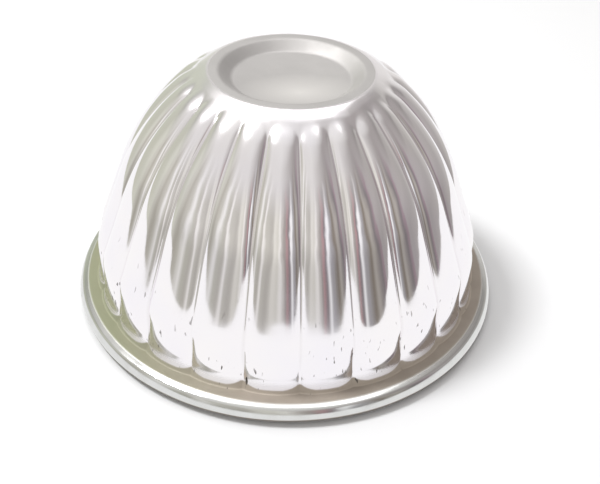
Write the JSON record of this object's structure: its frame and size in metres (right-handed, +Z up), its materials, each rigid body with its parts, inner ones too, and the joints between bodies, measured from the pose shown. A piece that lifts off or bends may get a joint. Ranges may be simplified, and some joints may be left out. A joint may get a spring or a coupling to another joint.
{
  "type": "jelly mould",
  "caption": "Fluted dome jelly mould drawn from sheet, with a recessed round base and a rolled, wired rim.",
  "frame": {"origin": "centre of the mouth, in the plane that the rolled rim stands on", "axes": "+Z up the axis of the dome, from the mouth through the middle of the base; one crease between flutes lies over +X"},
  "size_m": [0.1, 0.1, 0.0553],
  "materials": {
    "drawn_aluminium": "polished fluted wall, satin base, semi-gloss rim",
    "aluminium_wire": "dull drawn wire"
  },
  "bodies": {
    "root": {"fluted_shell": "drawn_aluminium", "rim_wire": "aluminium_wire"}
  },
  "joints": []
}
